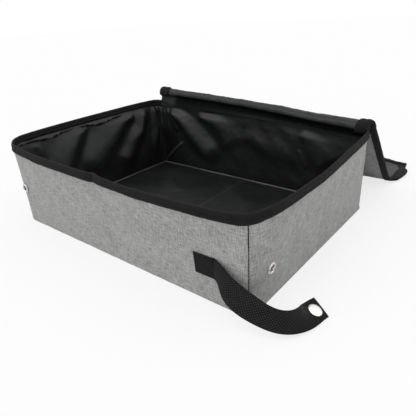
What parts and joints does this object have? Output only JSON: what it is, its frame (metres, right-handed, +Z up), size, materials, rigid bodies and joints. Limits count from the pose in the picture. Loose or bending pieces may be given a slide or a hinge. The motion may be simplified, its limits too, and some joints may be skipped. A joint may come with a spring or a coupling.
{
  "type": "foldable litter box",
  "caption": "Soft folding travel litter box: grey fabric tray with board-stiffened walls and satin lining, sewn-on folding lid, webbing strap with snap.",
  "frame": {"origin": "on the ground under the middle of the tray, on the underside of its base cloth", "axes": "+Z up, +X along the front wall towards the strap, +Y towards the lid behind the tray"},
  "size_m": [0.4649, 0.5386, 0.1456],
  "materials": {
    "linen_grey": "woven linen-look polyester, matt grey with darker flecks",
    "satin_black": "coated black satin lining, soft sheen",
    "binding_black": "black woven binding tape, matt, lock-stitched",
    "board_grey": "stiffening board, hidden between the fabrics",
    "webbing_black": "black 25 mm polypropylene webbing, ribbed weave",
    "nickel": "nickel-plated snap hardware, polished"
  },
  "bodies": {
    "back_wall": {"back_shell": "linen_grey", "back_board_left": "board_grey", "back_board_right": "board_grey", "back_lining": "satin_black", "back_rim_binding": "binding_black"},
    "right_side_rear": {"right_rear_shell": "linen_grey", "right_rear_board": "board_grey", "right_rear_lining": "satin_black", "right_rear_rim_binding": "binding_black"},
    "right_side_front": {"right_front_shell": "linen_grey", "right_front_board": "board_grey", "right_front_lining": "satin_black", "right_front_rim_binding": "binding_black", "side_stud": "nickel", "side_stud_eyelet": "nickel"},
    "left_side_rear": {"left_rear_shell": "linen_grey", "left_rear_board": "board_grey", "left_rear_lining": "satin_black", "left_rear_rim_binding": "binding_black"},
    "left_side_front": {"left_front_shell": "linen_grey", "left_front_board": "board_grey", "left_front_lining": "satin_black", "left_front_rim_binding": "binding_black"},
    "front_wall": {"front_shell": "linen_grey", "front_board_left": "board_grey", "front_board_right": "board_grey", "front_lining": "satin_black", "front_rim_binding": "binding_black", "strap_tab": "webbing_black", "front_stud": "nickel", "front_stud_eyelet": "nickel"},
    "floor_rear": {"floor_rear_base": "linen_grey", "floor_rear_board_left": "board_grey", "floor_rear_board_right": "board_grey", "floor_rear_lining": "satin_black"},
    "floor_front": {"floor_front_base": "linen_grey", "floor_front_board_left": "board_grey", "floor_front_board_right": "board_grey", "floor_front_lining": "satin_black"},
    "lid_strip": {"lid_strip_shell": "linen_grey", "lid_strip_lining": "satin_black", "lid_ridge_roll": "satin_black"},
    "lid_rear": {"lid_rear_shell": "linen_grey", "lid_rear_board_left": "board_grey", "lid_rear_board_right": "board_grey", "lid_rear_lining": "satin_black", "lid_rear_binding_left": "binding_black", "lid_rear_binding_right": "binding_black"},
    "lid_front": {"lid_front_shell": "linen_grey", "lid_front_board_left": "board_grey", "lid_front_board_right": "board_grey", "lid_front_lining": "satin_black", "lid_front_binding_left": "binding_black", "lid_front_binding_right": "binding_black", "lid_edge_binding": "binding_black"},
    "strap": {"strap": "webbing_black", "snap_cap": "nickel", "snap_socket": "nickel"}
  },
  "joints": [
    {"name": "collapse", "type": "hinge", "parent": "back_wall", "child": "right_side_rear", "pos_m": [0.1943, 0.1443, 0], "axis": [0, 0, -1], "range_deg": [0, 80]},
    {"name": "right_side_crease", "type": "hinge", "parent": "right_side_rear", "child": "right_side_front", "pos_m": [0.2013, 0, 0], "axis": [0, 0, 1], "range_deg": [0, 160]},
    {"name": "front_right_corner", "type": "hinge", "parent": "right_side_front", "child": "front_wall", "pos_m": [0.1943, -0.1443, 0], "axis": [0, 0, -1], "range_deg": [0, 80]},
    {"name": "left_side_corner", "type": "hinge", "parent": "back_wall", "child": "left_side_rear", "pos_m": [-0.1943, 0.1443, 0], "axis": [0, 0, 1], "range_deg": [0, 80]},
    {"name": "left_side_crease", "type": "hinge", "parent": "left_side_rear", "child": "left_side_front", "pos_m": [-0.2013, 0, 0], "axis": [0, 0, -1], "range_deg": [0, 160]},
    {"name": "floor_rear_edge", "type": "hinge", "parent": "back_wall", "child": "floor_rear", "pos_m": [0, 0.1443, 0], "axis": [1, 0, 0], "range_deg": [0, 80]},
    {"name": "floor_crease", "type": "hinge", "parent": "floor_rear", "child": "floor_front", "pos_m": [0, 0, 0.007], "axis": [-1, 0, 0], "range_deg": [0, 160]},
    {"name": "lid_swing", "type": "hinge", "parent": "back_wall", "child": "lid_strip", "pos_m": [0, 0.148, 0.1196], "axis": [1, 0, 0], "range_deg": [0, 90], "deforming": ["lid_ridge_roll"]},
    {"name": "lid_ridge", "type": "hinge", "parent": "lid_strip", "child": "lid_rear", "pos_m": [0, 0.1519, 0.1396], "axis": [1, 0, 0], "range_deg": [0, 141.43]},
    {"name": "lid_flap_fold", "type": "hinge", "parent": "lid_rear", "child": "lid_front", "pos_m": [0, 0.26405, 0.0052], "axis": [1, 0, 0], "range_deg": [-51.44, 0]},
    {"name": "strap_swing", "type": "hinge", "parent": "front_wall", "child": "strap", "pos_m": [0.16, -0.15272, 0.0465], "axis": [0, 0, 1], "range_deg": [-110, 0]}
  ],
  "couplings": [
    {"joint": "right_side_crease", "follows": "collapse", "ratio": 2},
    {"joint": "front_right_corner", "follows": "collapse", "ratio": 1},
    {"joint": "left_side_corner", "follows": "collapse", "ratio": 1},
    {"joint": "left_side_crease", "follows": "collapse", "ratio": 2},
    {"joint": "floor_rear_edge", "follows": "collapse", "ratio": 1},
    {"joint": "floor_crease", "follows": "collapse", "ratio": 2},
    {"joint": "lid_swing", "follows": "lid_ridge", "ratio": 0.63634},
    {"joint": "lid_flap_fold", "follows": "lid_ridge", "ratio": -0.36366}
  ]
}
